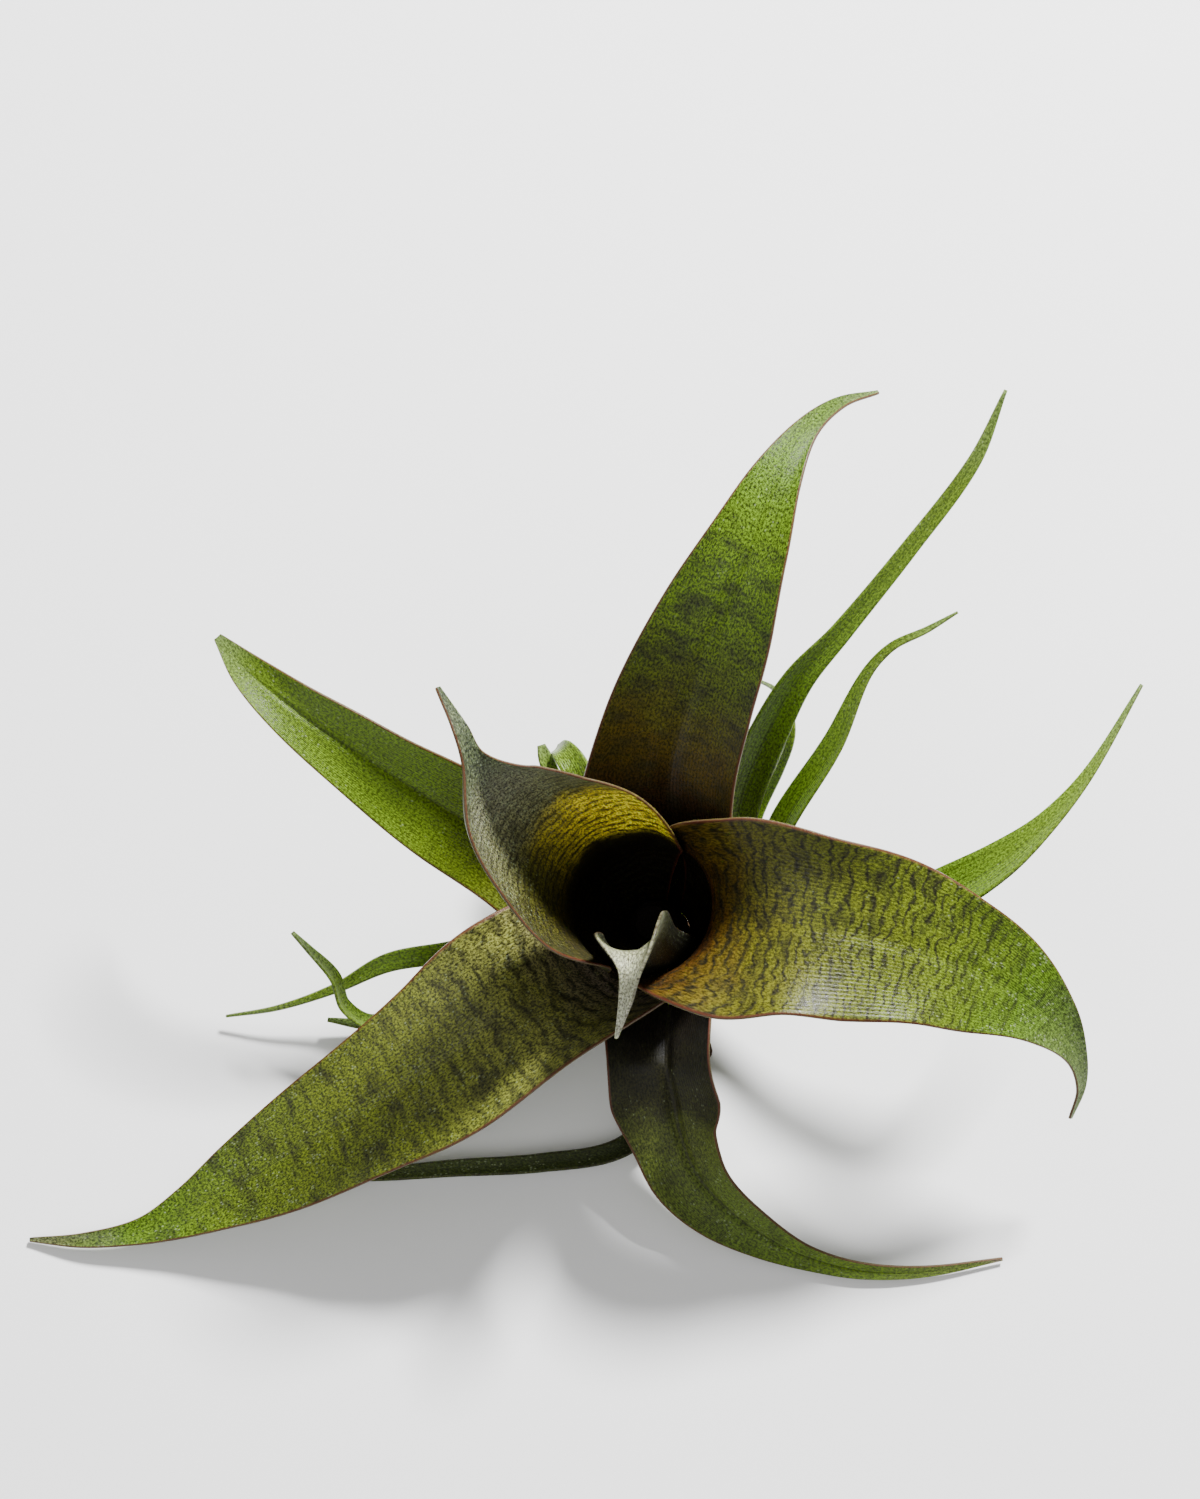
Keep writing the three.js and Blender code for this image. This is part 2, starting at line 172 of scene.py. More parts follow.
NARROW_BLADES = {
    "leaf_right_narrow": dict(azimuth=-10, ring=8, sheath_top=16, wrap=24, sections=(
        (20, -4, 23, 4.5, 50, 0),
        (36, -5, 34, 4.6, 40, 0),
        (52, -1.8, 45, 5.8, 32, 0),
        (62, 2.4, 52, 4.7, 30, 0),
        (70.5, 8.8, 57, 2.7, 30, 0),
        (78.5, 18, 60, 1.4, 30, 0),
        (89, 35, 63, 0.3, 20, 0),
    )),
    "leaf_back_high": dict(azimuth=72, ring=10, sheath_top=13, wrap=26, sections=(
        (10, 16, 24, 4.5, 60, 0),
        (13, 24, 35, 4.6, 50, 0),
        (17.5, 32, 46, 4.2, 45, 0),
        (23, 39.5, 55, 3.3, 40, 0),
        (31, 46.5, 62, 2.3, 35, 0),
        (44, 60, 72, 1.8, 30, 0),
        (56, 74, 81, 1.4, 30, 0),
        (62, 86, 88, 0.3, 20, 0),
    )),
    "leaf_back_right": dict(azimuth=24, ring=11, sheath_top=12, wrap=20, sections=(
        (16, 8, 19, 3.6, 60, 0),
        (22, 19, 30, 3.4, 50, 0),
        (31, 31, 40, 2.8, 50, 0),
        (37, 43, 47, 1.4, 40, 0),
        (42, 48, 50, 1, 40, 0),
        (49, 51, 52, 0.7, 30, 0),
        (55, 54, 54, 0.2, 30, 0),
    )),
    "leaf_back_short": dict(azimuth=114, ring=12, sheath_top=11, wrap=20, sections=(
        (-14, 15, 18, 3.4, 50, 0),
        (-18, 22, 26, 3.4, 40, 0),
        (-21, 29, 32, 3, 30, 0),
        (-23.5, 33, 31, 2.4, 30, 0),
        (-25, 35, 26, 1.2, 30, 0),
    )),
    "leaf_back_tiny": dict(azimuth=135, ring=13, sheath_top=10, wrap=18, sections=(
        (-16, 14, 13, 2.2, 50, 0),
        (-23, 24, 22, 2, 40, 0),
        (-27, 32, 28, 1.6, 40, 0),
        (-28, 35, 29, 0.8, 40, 0),
    )),
    "leaf_front_low": dict(azimuth=-95, ring=9, sheath_top=12, wrap=26, sections=(
        (-3, -21, 9, 3, 60, 0),
        (-3, -34, 5, 2.6, 50, 0),
        (-12, -43, 4, 2.2, 50, 0),
        (-28, -46, 4, 2, 45, 0),
        (-46, -47, 3.5, 1.8, 45, 0),
        (-59, -48, 3, 1.4, 40, 0),
        (-71, -49, 2.5, 0.4, 20, 0),
    )),
    "leaf_left_straight": dict(azimuth=172, ring=10, sheath_top=12, wrap=24, sections=(
        (-24, 0, 13, 3, 60, 0),
        (-47, -5, 15.5, 2.3, 45, 0),
        (-59, -7, 15, 2, 45, 0),
        (-70, -11, 10, 1, 40, 0),
        (-82, -14, 6, 0.5, 40, 0),
        (-93, -15, 3, 0.25, 20, 0),
    )),
    "leaf_left_hooked": dict(azimuth=196, ring=12, sheath_top=10.5, wrap=20, sections=(
        (-24, -4, 9, 2.6, 60, 0),
        (-47, -14, 8, 2.2, 45, 0),
        (-62, -18.5, 10, 2, 45, 0),
        (-68, -16, 14, 2, 40, 0),
        (-70, -11, 18, 2, 40, 0),
        (-75, -6, 22, 1, 30, 0),
        (-78, -3, 23, 0.4, 20, 0),
    )),
    "leaf_left_small": dict(azimuth=218, ring=14, sheath_top=9, wrap=18, sections=(
        (-22, -9, 6, 2.2, 60, 0),
        (-45, -14.5, 4.5, 2, 45, 0),
        (-63, -17, 3.5, 1.6, 45, 0),
        (-72, -16, 4, 0.5, 40, 0),
    )),
    "leaf_back_thread": dict(azimuth=50, ring=16, sheath_top=8.5, wrap=11, sections=(
        (12, 13, 10, 1.2, 50, 0),
        (17, 25, 17, 1, 40, 0),
        (21, 32, 24, 0.9, 40, 0),
        (23, 37, 29, 0.8, 40, 0),
        (22.5, 42, 31, 0.7, 40, 0),
        (20, 47, 29, 0.5, 30, 0),
        (17, 51, 24, 0.3, 30, 0),
    )),
}

# The stem's skin: ringed by leaf scars, wider at its foot and rounded at its top. Millimetres.
STEM_SIDES = 48
STEM_STEPS = 54
STEM_FOOT_RADIUS = STEM_RADIUS + 0.8
FOOT_FLARE = 0.75
FOOT_FLARE_HEIGHT = 3
SCAR_HEIGHT = 0.22
SCAR_SPACING = 1.6
SCARS_FROM = 1
SCARS_TO = STEM_TOP - 3
TOP_TAPER = 2
TOP_TAPER_HEIGHT = 4
STEM_LOBES = 5
STEM_LOBE_SHARE = 0.02
STEM_PAINTED_SHADE_FROM = 0.016  # metres above the foot, where the painted shade of the tank over the stem's top begins

# How a root runs, at stations that are shares of its reach: its share of the bend, and its height in millimetres.
ROOT_RADIUS = 0.9
ROOT_SIDES = 10
ROOT_STEPS = 48
ROOT_START = STEM_RADIUS + 1.3
ROOT_STATIONS = (0.0, 0.2, 0.5, 0.8, 1.0)
ROOT_BEND_SHARES = (0.0, 0.1, 0.7, 0.8, 1.0)
ROOT_HEIGHTS = (3.0, 2.0, ROOT_RADIUS + 0.1, ROOT_RADIUS + 0.1, ROOT_RADIUS + 0.1)
ROOT_WIGGLE = 0.5
ROOT_TAPER = 0.45
ROOT_TIP_SHARE = 0.15
ROOT_LOWEST = 0.02
# Two waves of knots along a root: height as a share of the radius, and radians from its start to its tip.
COARSE_KNOTS = (0.10, 61)
FINE_KNOTS = (0.06, 131)

# Roots: azimuth in degrees, reach in millimetres, sideways bend in radians.
ROOTS = {
    "root_right": (-5, 24, 0.5),
    "root_back_right": (48, 34, 0.3),
    "root_back": (108, 26, -0.35),
    "root_back_left": (150, 27, 0.25),
    "root_left": (205, 24, -0.3),
    "root_front_left": (250, 26, 0.3),
    "root_front_right": (300, 19, -0.3),
}

# Each light: name, where it stands in metres, its diameter in metres and its power in watts.
LIGHTS = (
    ("key", (0.42, 0.76, 0.92), 0.22, 62.0),
    ("fill", (-0.7, -0.9, 1.3), 1.0, 9.0),
)
LIGHT_TARGET = Vector((-0.02, 0.0, 0.04))
SKY_STRENGTH = 0.45

# The camera looks down on the plant from its front. Metres, and millimetres for the lens.
CAMERA_ELEVATION = math.radians(70)
CAMERA_DISTANCE = 0.65
CAMERA_TARGET = Vector((-0.016, 0.030, 0.040))
CAMERA_LENS = 78.05


# ---- settings


class VrieseaSizes(bpy.types.PropertyGroup):
    nerve_depth: FloatProperty(
        name="Nerve depth", description="How deep the fine nerves are pressed into a blade",
        default=0.00006, min=0.0, max=0.0005, unit="LENGTH", subtype="DISTANCE")
    midrib_depth: FloatProperty(
        name="Midrib depth", description="How far the midrib is folded into a broad blade",
        default=MIDRIB_DEPTH, min=0.0, max=0.002, unit="LENGTH", subtype="DISTANCE")
    margin_wave: FloatProperty(
        name="Margin wave", description="How far the margins of a broad blade rise and fall",
        default=MARGIN_WAVE, min=0.0, max=0.002, unit="LENGTH", subtype="DISTANCE")
    floor_width: FloatProperty(
        name="Floor width", description="Width of the square that the plant stands on",
        default=6.0, min=0.5, unit="LENGTH", subtype="DISTANCE")


def colour_setting(name, description, default):
    return FloatVectorProperty(
        name=name, description=description, default=default, size=3, min=0.0, max=1.0, subtype="COLOR")


class VrieseaColours(bpy.types.PropertyGroup):
    fresh_green: colour_setting("Fresh green", "The middle of a plain green blade", (0.088, 0.150, 0.0060))
    mottle: colour_setting("Mottle", "The dark purple brown of the cross lines", (0.012, 0.011, 0.0055))
    scurf: colour_setting("Scurf", "The silvery scales on the blades", (0.30, 0.36, 0.20))
    margin: colour_setting("Margin", "The thin red brown edge of a blade", (0.085, 0.021, 0.012))
    bark: colour_setting("Bark", "The stump of the stem", (0.075, 0.042, 0.021))
    root_skin: colour_setting("Root skin", "The dry roots", (0.055, 0.028, 0.014))
    floor: colour_setting("Floor", "The pale surface under the plant", (0.86, 0.86, 0.86))


# ---- the shape of a blade


def outwards(azimuth):
    """The unit direction out of the rosette's axis towards an azimuth in degrees."""
    a = math.radians(azimuth)
    return ACROSS_AXIS * math.cos(a) + BEHIND_AXIS * math.sin(a)


def smoothstep(x, low, high):
    t = min(1.0, max(0.0, (x - low) / (high - low)))
    return t * t * (3 - 2 * t)


def smooth(at, values, u):
    """A smooth curve through (at[k], values[k]), read at u."""
    last = len(at) - 1
    k = 0
    while k < last - 1 and u > at[k + 1]:
        k += 1

    def slope(i):
        a, b = max(0, i - 1), min(last, i + 1)
        return (values[b] - values[a]) / (at[b] - at[a])

    width = at[k + 1] - at[k]
    t = (u - at[k]) / width
    start = values[k] + t * t * (3 - 2 * t) * (values[k + 1] - values[k])
    return start + width * (t * (1 - t) ** 2 * slope(k) - t * t * (1 - t) * slope(k + 1))


# One row across a leaf: the midrib's place, the directions across and up, half width, curl in radians, thickness
# at the midrib, how free of the sheath it is (0 to 1) and its distance along the leaf.
Row = namedtuple("Row", "spot across up half curl body free u")


class Blade:
    """The surface of one leaf, from the start of its sheath to its tip. Millimetres."""

    def __init__(self, azimuth, ring, sheath_top, wrap, sections, rows):
        sheath = self.sheath(azimuth, ring, sheath_top, wrap)
        sections = sheath + list(sections)
        points = [Vector(s[:3]) for s in sections]
        at = [0.0]
        for before, after in zip(points, points[1:]):
            at.append(at[-1] + (after - before).length)
        columns = list(zip(*sections))
        self.length = at[-1]
        self.mouth = at[len(sheath) - 1]
        opening = at[len(sheath)] - self.mouth

        def spot(u):
            return Vector([smooth(at, columns[i], u) for i in range(3)])

        self.rows = []
        ahead = AXIS.copy()
        facing = -outwards(azimuth)
        step = self.length * TANGENT_STEP
        for r in range(rows + 1):
            u = self.length * r / rows
            tangent = (spot(min(self.length, u + step)) - spot(max(0.0, u - step))).normalized()
            free = smoothstep(u, self.mouth, self.mouth + opening)
            forward = AXIS.lerp(tangent, free).normalized()
            facing.rotate(ahead.rotation_difference(forward))
            facing = (facing - forward * facing.dot(forward)).normalized()
            ahead = forward
            up = Quaternion(ahead, math.radians(smooth(at, columns[5], u))) @ facing
            half = max(LEAST_HALF_WIDTH, smooth(at, columns[3], u))
            curl = math.radians(max(LEAST_CURL, smooth(at, columns[4], u)))
            thin = 1 - TIP_THINNING * smoothstep(u / self.length, TIP_THINNING_FROM, 1)
            body = (SHEATH_THICKNESS + free * (MIDRIB_THICKNESS - SHEATH_THICKNESS)) * thin
            self.rows.append(Row(spot(u), ahead.cross(up), up, half, curl, body, free, u))

    @staticmethod
    def sheath(azimuth, ring, top, wrap):
        """The sections of a leaf's sheath, which is part of a tube round the rosette's axis."""
        start = LOWEST_SHEATH + SHEATH_SPREAD * math.exp(-ring / RING_CROWDING)
        widest = INNER_TANK_RADIUS + RING_STEP * ring
        narrowest = STEM_RADIUS + STEM_GAP + SHEATH_THICKNESS / 2
        sections = []
        for share in SHEATH_STATIONS:
            height = start + share * (top - start)
            opened = math.sin(min(1, (height - start) / FLARE_HEIGHT) * math.pi / 2)
            radius = narrowest + opened * (widest - narrowest)
            turn = wrap * (SHEATH_FOOT_WRAP + (1 - SHEATH_FOOT_WRAP) * share)
            point = AXIS * height + outwards(azimuth) * radius
            sections.append((*point, radius * math.radians(turn), turn, 0))
        return sections

    def place(self, row, t, side, shape):
        """A point of the leaf: t from -1 to 1 across it, side 1 on top and -1 below."""
        at = self.rows[row]
        radius = at.half / at.curl
        thick = at.body + (min(at.body, MARGIN_THICKNESS) - at.body) * t * t
        lift = thick * side / 2
        fade = at.free * smoothstep(self.length - at.u, 0, FADE_SHARE * self.length)
        narrow = min(1.0, at.half / FULL_FOLD_HALF_WIDTH)
        fold = -math.exp(-((t / MIDRIB_SPREAD) ** 2)) * shape["midrib"] * fade * narrow
        lag = (MARGIN_LAG if t > 0 else 0.0) + shape["phase"]
        waves = math.sin(at.u / shape["wave_length"] * 2 * math.pi + lag)
        outer = max(0.0, abs(t) - WAVE_FROM) ** 2 / (1 - WAVE_FROM) ** 2
        wave = shape["wave"] * waves * outer * fade * narrow
        inner = radius - lift - fold - wave
        turn = at.curl * t
        return at.spot + at.across * math.sin(turn) * inner + at.up * (radius - math.cos(turn) * inner)

    def colour_place(self, row):
        """Where a row lies in the leaf's colour range: 0 at the sheath's start, 1 at the tip."""
        u = self.rows[row].u
        if u < self.mouth:
            return SHEATH_SHARE * u / self.mouth
        return SHEATH_SHARE + (1 - SHEATH_SHARE) * (u - self.mouth) / (self.length - self.mouth)


def blade_mesh(name, rows, columns, shape, azimuth, ring, sheath_top, wrap, sections):
    """One leaf as a closed shell, with its UV maps: Share runs 0 to 1 both ways, Blade is in centimetres."""
    blade = Blade(azimuth, ring, sheath_top, wrap, sections, rows)
    bm = bmesh.new()
    share_map = bm.loops.layers.uv.new("Share")
    blade_map = bm.loops.layers.uv.new("Blade")
    below = bm.verts.layers.float.new("below")
    bmesh.ops.create_grid(bm, x_segments=columns, y_segments=rows, size=1)
    grid = {}
    for v in bm.verts:
        grid[v] = (v.co.x, round((v.co.y + 1) / 2 * rows))
    for face in bm.faces:
        for loop in face.loops:
            t, row = grid[loop.vert]
            loop[share_map].uv = ((t + 1) / 2, blade.colour_place(row))
            loop[blade_map].uv = (t * blade.rows[row].half / 10, blade.rows[row].u / 10)
    top = set(bm.verts)
    bmesh.ops.solidify(bm, geom=bm.faces[:], thickness=0.01)
    bm.verts.ensure_lookup_table()
    for v in bm.verts:
        if v in top:
            t, row = grid[v]
            side = 1
        else:
            t, row = nearest_grid(v, rows)
            side = -1
            v[below] = 1.0
        v.co = blade.place(row, t, side, shape) * MM
    return finished_mesh(name, bm)


def nearest_grid(v, rows):
    """The grid place of a vertex that the solidify made under the flat grid."""
    return max(-1.0, min(1.0, v.co.x)), round((max(-1.0, min(1.0, v.co.y)) + 1) / 2 * rows)


def finished_mesh(name, bm, flat_caps=False):
    """Turns a closed bmesh into a mesh that faces outward: smooth, but for its end caps with flat_caps."""
    bmesh.ops.recalc_face_normals(bm, faces=bm.faces[:])
    mesh = bpy.data.meshes.new(name)
    bm.to_mesh(mesh)
    bm.free()
    for polygon in mesh.polygons:
        polygon.use_smooth = not flat_caps or len(polygon.vertices) == 4
    return mesh


def add_piece(name, mesh, material, replaced):
    """Links a finished mesh as a piece of the plant that stands for a node of the frame."""
    piece = bpy.data.objects.new("vriesea_" + name, mesh)
    bpy.context.scene.collection.objects.link(piece)
    mesh.materials.clear()
    mesh.materials.append(material)
    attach(piece, BODY)
    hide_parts(replaced)
    return piece


# ---- node helpers


class Tree:
    """Short ways to add and link shader nodes."""

    def __init__(self, tree):
        self.tree = tree

    def add(self, kind, links=None, **settings):
        node = self.tree.nodes.new(kind)
        for key, value in settings.items():
            setattr(node, key, value)
        for key, value in (links or {}).items():
            self.put(node.inputs[key], value)
        return node

    def put(self, socket, value):
        if isinstance(value, bpy.types.NodeSocket):
            self.tree.links.new(value, socket)
        elif isinstance(value, tuple):
            socket.default_value = value + ((1.0,) if socket.type == "RGBA" and len(value) == 3 else ())
        else:
            socket.default_value = value

    def math(self, operation, a, b=0.0, clamp=False):
        return self.add("ShaderNodeMath", {0: a, 1: b}, operation=operation, use_clamp=clamp).outputs[0]

    def times(self, a, b, clamp=False):
        return self.math("MULTIPLY", a, b, clamp)

    def plus(self, a, b):
        return self.math("ADD", a, b)

    def step(self, value, low, high, to_low=0.0, to_high=1.0):
        """A smooth ramp of a value between two limits."""
        return self.add(
            "ShaderNodeMapRange",
            {"Value": value, "From Min": low, "From Max": high, "To Min": to_low, "To Max": to_high},
            interpolation_type="SMOOTHSTEP", clamp=True).outputs[0]

    def mix(self, factor, a, b, blend="MIX"):
        node = self.add("ShaderNodeMix", data_type="RGBA", blend_type=blend, clamp_factor=True)
        self.put(node.inputs[0], factor)
        self.put(node.inputs[6], a)
        self.put(node.inputs[7], b)
        return node.outputs[2]

    def noise(self, vector, scale, detail=2.0, roughness=0.5):
        return self.add(
            "ShaderNodeTexNoise",
            {"Vector": vector, "Scale": scale, "Detail": detail, "Roughness": roughness}).outputs["Fac"]

    def stretch(self, vector, scale):
        return self.add("ShaderNodeMapping", {"Vector": vector, "Scale": scale}).outputs[0]

    def shifted(self, vector, seed):
        """A place moved by a seed, so that each seed shows another part of a pattern."""
        shift = self.add("ShaderNodeCombineXYZ", {"X": seed, "Y": seed, "Z": seed}).outputs[0]
        return self.add("ShaderNodeVectorMath", {0: vector, 1: shift}, operation="ADD").outputs[0]

    def ramp(self, value, stops):
        node = self.add("ShaderNodeValToRGB", {"Fac": value})
        elements = node.color_ramp.elements
        while len(elements) < len(stops):
            elements.new(0.5)
        for element, (place, colour) in zip(elements, stops):
            element.position = place
            element.color = (*colour, 1.0)
        return node.outputs["Color"]


def new_material(name):
    """An empty node material and its tree."""
    material = bpy.data.materials.new(name)
    material.use_nodes = True
    material.node_tree.nodes.clear()
    return material, Tree(material.node_tree)


def new_group(name, inputs, outputs):
    """A shader node group with named sockets. Each input is name: default; a tuple makes a vector."""
    group = bpy.data.node_groups.new(name, "ShaderNodeTree")
    for key, default in inputs.items():
        kind = "NodeSocketVector" if isinstance(default, tuple) else "NodeSocketFloat"
        socket = group.interface.new_socket(name=key, in_out="INPUT", socket_type=kind)
        socket.default_value = default
    for key in outputs:
        group.interface.new_socket(name=key, in_out="OUTPUT", socket_type="NodeSocketFloat")
    tree = Tree(group)
    return group, tree, tree.add("NodeGroupInput").outputs, tree.add("NodeGroupOutput").inputs


def scurf_group():
    """The scaly skin: a grain of light and dark points, and bright scales that gather in patches."""
    group, tree, given, out = new_group(
        "Scurf", {"Place": (0.0, 0.0, 0.0), "Scale Size": 0.02, "Amount": 0.5}, ["Grain", "Scales"])
    inverse = tree.math("DIVIDE", 1.0, given["Scale Size"])
    stretched = tree.stretch(given["Place"], (1.0, 0.7, 1.0))
    grain = tree.noise(stretched, inverse, 2.0, 0.75)
    tree.put(out["Grain"], tree.step(grain, 0.36, 0.64))
    cells = tree.add("ShaderNodeTexVoronoi", {"Vector": stretched, "Scale": inverse}, feature="F1")
    picked = tree.add("ShaderNodeSeparateColor", {"Color": cells.outputs["Color"]}).outputs[0]
    dense = tree.step(tree.noise(given["Place"], 2.6, 5.0, 0.65), 0.38, 0.68)
    share = tree.times(given["Amount"], tree.plus(tree.times(dense, 0.75), 0.25))
    chosen = tree.step(tree.plus(picked, share), 1.0, 1.15)
    round_scale = tree.step(cells.outputs["Distance"], 0.6, 0.1)
    tree.put(out["Scales"], tree.times(chosen, round_scale))
    return group


def cross_lines_group():
    """Dark wavy lines that cross the blade, fading, merging and forking. Waviness is in line spacings."""
    group, tree, given, out = new_group(
        "CrossLines",
        {"Place": (0.0, 0.0, 0.0), "Spacing": 0.2, "Waviness": 1.0, "Width": 0.5, "Seed": 0.0}, ["Mask"])
    place = tree.shifted(given["Place"], given["Seed"])
    split = tree.add("ShaderNodeSeparateXYZ", {"Vector": place})
    along = tree.math("DIVIDE", split.outputs["Y"], given["Spacing"])
    broad = tree.math("SUBTRACT", tree.noise(tree.stretch(place, (1.6, 1.0, 1.0)), 1.6, 2.0, 0.5), 0.5)
    tight = tree.math("SUBTRACT", tree.noise(tree.stretch(place, (1.0, 0.8, 1.0)), 5.5, 3.0, 0.6), 0.5)
    wander = tree.plus(tree.times(broad, 5.0), tree.times(tight, 2.6))
    phase = tree.plus(along, tree.times(given["Waviness"], wander))
    wave = tree.math("ABSOLUTE", tree.math("SINE", tree.times(phase, math.pi)))
    strength = tree.noise(tree.stretch(place, (1.0, 1.5, 1.0)), 4.0, 3.0, 0.6)
    width = tree.times(given["Width"], tree.step(strength, 0.3, 0.7, 0.35, 1.35))
    line = tree.math("SUBTRACT", 1.0, tree.math("DIVIDE", wave, width), clamp=True)
    fade = tree.step(strength, 0.30, 0.56, 0.15, 1.0)
    tree.put(out["Mask"], tree.times(tree.step(line, -0.05, 1.0), fade, clamp=True))
    return group


def mottle_group():
    """Soft irregular patches, a little longer across the blade than along it."""
    group, tree, given, out = new_group(
        "Mottle", {"Place": (0.0, 0.0, 0.0), "Patch Size": 0.5, "Seed": 0.0, "Cover": 0.5}, ["Mask"])
    place = tree.shifted(given["Place"], given["Seed"])
    scale = tree.math("DIVIDE", 1.0, given["Patch Size"])
    patches = tree.noise(tree.stretch(place, (0.7, 1.3, 1.0)), scale, 5.0, 0.6)
    low = tree.math("SUBTRACT", 0.62, tree.times(given["Cover"], 0.3))
    tree.put(out["Mask"], tree.step(patches, low, tree.plus(low, 0.22)))
    return group


def nerves_group():
    """Fine nerves that run the length of the blade and close up towards its tip."""
    group, tree, given, out = new_group(
        "Nerves", {"Share": (0.0, 0.0, 0.0), "Place": (0.0, 0.0, 0.0), "Count": 44.0}, ["Ridge", "Streak"])
    across = tree.add("ShaderNodeSeparateXYZ", {"Vector": given["Share"]})
    turns = tree.times(tree.times(across.outputs["X"], given["Count"]), 2 * math.pi)
    wander = tree.noise(tree.stretch(given["Place"], (1.0, 0.25, 1.0)), 6.0, 2.0)
    turns = tree.plus(turns, tree.times(wander, 1.2))
    ridge = tree.plus(tree.times(tree.math("SINE", turns), 0.5), 0.5)
    tree.put(out["Ridge"], ridge)
    streak_place = tree.add("ShaderNodeCombineXYZ", {
        "X": tree.times(across.outputs["X"], given["Count"]),
        "Y": tree.times(across.outputs["Y"], 7.0)}).outputs[0]
    tree.put(out["Streak"], tree.noise(streak_place, 1.6, 2.0, 0.6))
    return group


def margin_group():
    """A thin line along both edges of a blade, and the darker line of its midrib."""
    group, tree, given, out = new_group(
        "Margin", {"Share": (0.0, 0.0, 0.0), "Width": 0.03, "Midrib Width": 0.03}, ["Edge", "Midrib"])
    across = tree.add("ShaderNodeSeparateXYZ", {"Vector": given["Share"]}).outputs["X"]
    from_middle = tree.math("ABSOLUTE", tree.math("SUBTRACT", across, 0.5))
    inside = tree.math("SUBTRACT", 0.5, given["Width"])
    tree.put(out["Edge"], tree.step(from_middle, inside, 0.5))
    tree.put(out["Midrib"], tree.step(from_middle, given["Midrib Width"], 0.0))
    return group


GROUP_MAKERS = {
    "Scurf": scurf_group, "CrossLines": cross_lines_group, "Mottle": mottle_group,
    "Nerves": nerves_group, "Margin": margin_group,
}


def use_group(tree, name, links):
    """Places a shared group in a material, building it the first time."""
    group = bpy.data.node_groups.get(name) or GROUP_MAKERS[name]()
    node = tree.tree.nodes.new("ShaderNodeGroup")
    node.node_tree = group
    for key, value in links.items():
        tree.put(node.inputs[key], value)
    return node.outputs


# ---- materials


# What every leaf's finish shares. Widths are shares of the blade's width, sizes are in centimetres.
EDGE_WIDTH = 0.02
MIDRIB_WIDTH = 0.03
PATCH_SIZE = 0.42
PATCH_COVER = 0.55
SCALE_SIZE = 0.042
SCALE_STRENGTH = 0.55
COLOUR_WANDER = 0.12  # how far the colour stops wander along a blade
AMOUNT_STOPS = (0.25, 0.55, 0.9)  # where along a blade the three amounts of lines, mottle and scurf hold
STREAK_TINT = (0.45, 0.42, 0.4)
GRAIN_DARK = (0.27, 0.26, 0.24)
GRAIN_LIGHT = (1.95, 1.95, 1.9)
UNDER_SHARE = 0.65  # how far the underside's own colour hides the leaf's
GRAIN_ROUGHNESS = 0.14
RIDGE_HEIGHT = 0.8
GRAIN_HEIGHT = 0.7
SCALE_HEIGHT = 0.5
BLADE_SPECULAR = 0.2
GLOW_RADIUS = (0.7, 0.9, 0.15)
GLOW_DEPTH = 0.0015
PAINTED_SHADE_BAND = 0.004  # metres over which the bark's painted shade deepens
